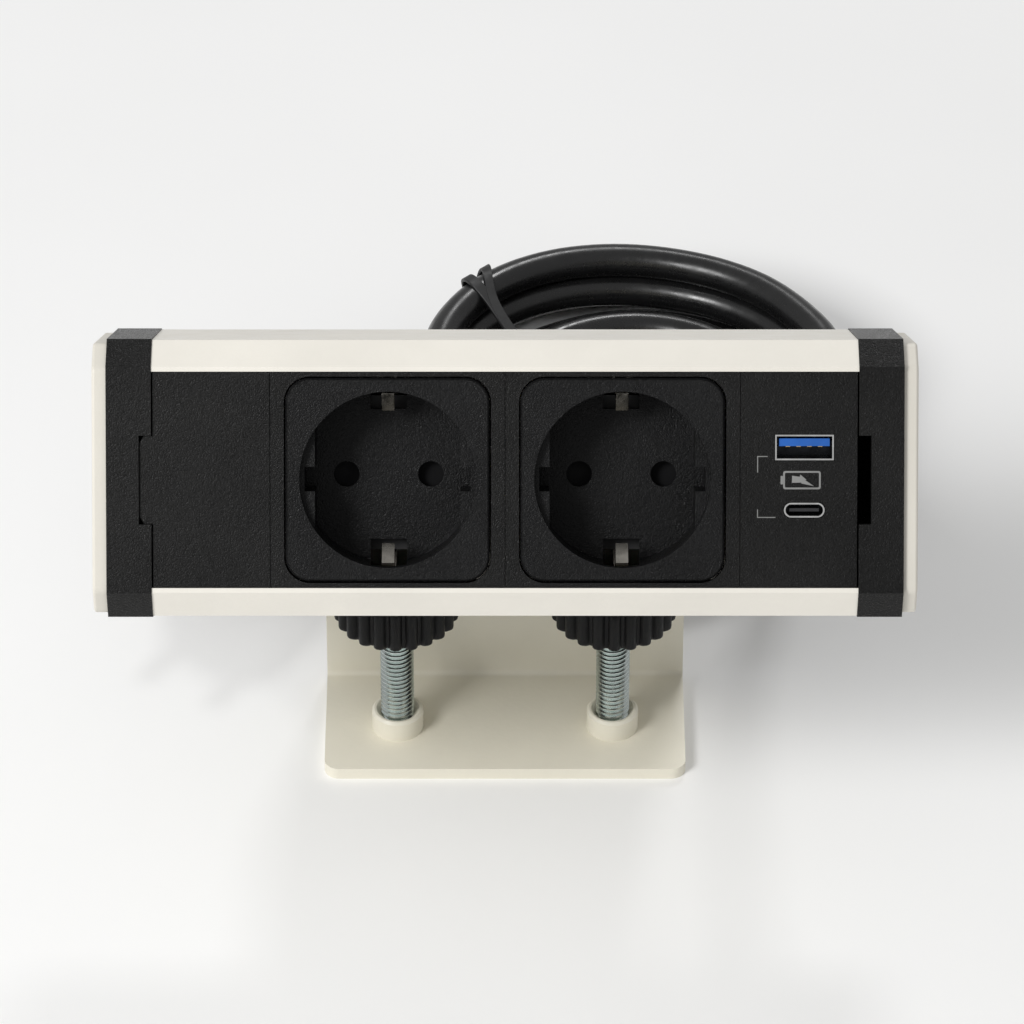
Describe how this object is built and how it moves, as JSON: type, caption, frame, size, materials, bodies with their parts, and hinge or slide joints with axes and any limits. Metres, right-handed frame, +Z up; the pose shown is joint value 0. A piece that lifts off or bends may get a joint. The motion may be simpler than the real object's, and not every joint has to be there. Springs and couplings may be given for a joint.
{
  "type": "desk power strip",
  "caption": "Clamp-on desk power strip: tilted aluminium housing with earthed sockets and USB outlets on a folded steel clamp with hand screws, and a coiled mains lead with its plug.",
  "frame": {"origin": "middle of the bottom of the strip without its lead, on the plane it stands on", "axes": "+X along the housing, +Y away from the user, +Z up"},
  "size_m": [0.1913, 0.244, 0.1384],
  "materials": {
    "white_profile": "white powder coat, satin",
    "white_plastic": "satin moulded white",
    "white_steel": "white powder coat, fine orange peel",
    "black_plastic": "fine spark-eroded grain",
    "black_insert": "fine spark-eroded grain, slightly glossier",
    "grey_shutter": "smooth grey",
    "inner_plastic": "smooth black",
    "brass": "stamped",
    "contact_steel": "nickel-plated strip",
    "spring_steel": "drawn wire",
    "zinc_steel": "zinc plated",
    "outlet_shell": "nickel-plated, drawn",
    "blue_tongue": "moulded blue",
    "black_tongue": "moulded black",
    "gold_contact": "gold plated",
    "board": "green laminate",
    "components": "mixed parts, mostly black",
    "knob_plastic": "satin black",
    "rubber_grey": "matte",
    "gland_plastic": "satin black",
    "cord_jacket": "smooth black jacket",
    "cord_tie": "smooth black nylon",
    "plug_black": "satin black",
    "wire_brown": "smooth",
    "wire_blue": "smooth",
    "wire_green": "green with a yellow stripe"
  },
  "bodies": {
    "strip": {"housing_profile": "white_profile", "blank_module": "black_plastic", "usb_cover": "black_plastic", "usb_a_shell": "outlet_shell", "usb_c_shell": "outlet_shell", "usb_a_tongue": "blue_tongue", "usb_c_tongue": "black_tongue", "usb_a_contacts": "gold_contact", "usb_circuit_board": "board", "usb_components": "components", "clamp_bracket": "white_steel", "bracket_screws": "zinc_steel", "slot_nuts": "zinc_steel", "desk_lining": "rubber_grey", "gland_body": "gland_plastic", "gland_locknut": "gland_plastic", "gland_dome": "gland_plastic", "cord_boot": "gland_plastic", "wire_live": "wire_brown", "wire_earth": "wire_green", "wire_neutral": "wire_blue", "cord_lead": "cord_jacket", "cord_tail": "cord_jacket", "cord_coil": "cord_jacket", "cord_tie": "cord_tie", "plug_body": "plug_black", "plug_pins": "contact_steel", "plug_earth_clips": "contact_steel", "plug_boot": "plug_black", "end_cap_left": "black_plastic", "end_plate_left": "white_plastic", "end_screws_left": "zinc_steel", "socket_frame_left": "black_plastic", "socket_insert_left": "black_insert", "socket_base_left": "inner_plastic", "shutter_spring_left": "spring_steel", "pin_contacts_left": "brass", "earth_clip_left": "contact_steel", "threaded_collar_left": "white_steel", "end_cap_right": "black_plastic", "end_plate_right": "white_plastic", "end_screws_right": "zinc_steel", "socket_frame_right": "black_plastic", "socket_insert_right": "black_insert", "socket_base_right": "inner_plastic", "shutter_spring_right": "spring_steel", "pin_contacts_right": "brass", "earth_clip_right": "contact_steel", "threaded_collar_right": "white_steel"},
    "pad_left": {"swivel_pad_left": "rubber_grey"},
    "screw_left": {"clamp_knob_left": "knob_plastic", "clamp_stud_left": "zinc_steel"},
    "shutter_disc_left": {"shutter_left": "grey_shutter"},
    "pad_right": {"swivel_pad_right": "rubber_grey"},
    "screw_right": {"clamp_knob_right": "knob_plastic", "clamp_stud_right": "zinc_steel"},
    "shutter_disc_right": {"shutter_right": "grey_shutter"}
  },
  "joints": [
    {"name": "pad_slide_left", "type": "slide", "parent": "strip", "child": "pad_left", "axis": [0, 0, 1], "range_m": [-0.028, 0.004]},
    {"name": "screw_turn_left", "type": "hinge", "parent": "pad_left", "child": "screw_left", "pos_m": [-0.0257, 0.0205, 0.03], "axis": [0, 0, 1], "range_deg": [-8066, 1154]},
    {"name": "shutter_turn_left", "type": "hinge", "parent": "strip", "child": "shutter_disc_left", "pos_m": [-0.02625, -0.01127, 0.1036], "axis": [0, 0.8387, -0.5446], "range_deg": [0, 36], "stiffness_Nm_per_rad": 0.004, "springref_deg": -20.05},
    {"name": "pad_slide_right", "type": "slide", "parent": "strip", "child": "pad_right", "axis": [0, 0, 1], "range_m": [-0.028, 0.004]},
    {"name": "screw_turn_right", "type": "hinge", "parent": "pad_right", "child": "screw_right", "pos_m": [0.0257, 0.0205, 0.03], "axis": [0, 0, 1], "range_deg": [-8066, 1154]},
    {"name": "shutter_turn_right", "type": "hinge", "parent": "strip", "child": "shutter_disc_right", "pos_m": [0.02625, -0.01127, 0.1036], "axis": [0, 0.8387, -0.5446], "range_deg": [0, 36], "stiffness_Nm_per_rad": 0.004, "springref_deg": -20.05}
  ],
  "couplings": [
    {"joint": "screw_turn_left", "follows": "pad_slide_left", "rad_per_m": 5026.5},
    {"joint": "screw_turn_right", "follows": "pad_slide_right", "rad_per_m": 5026.5}
  ]
}
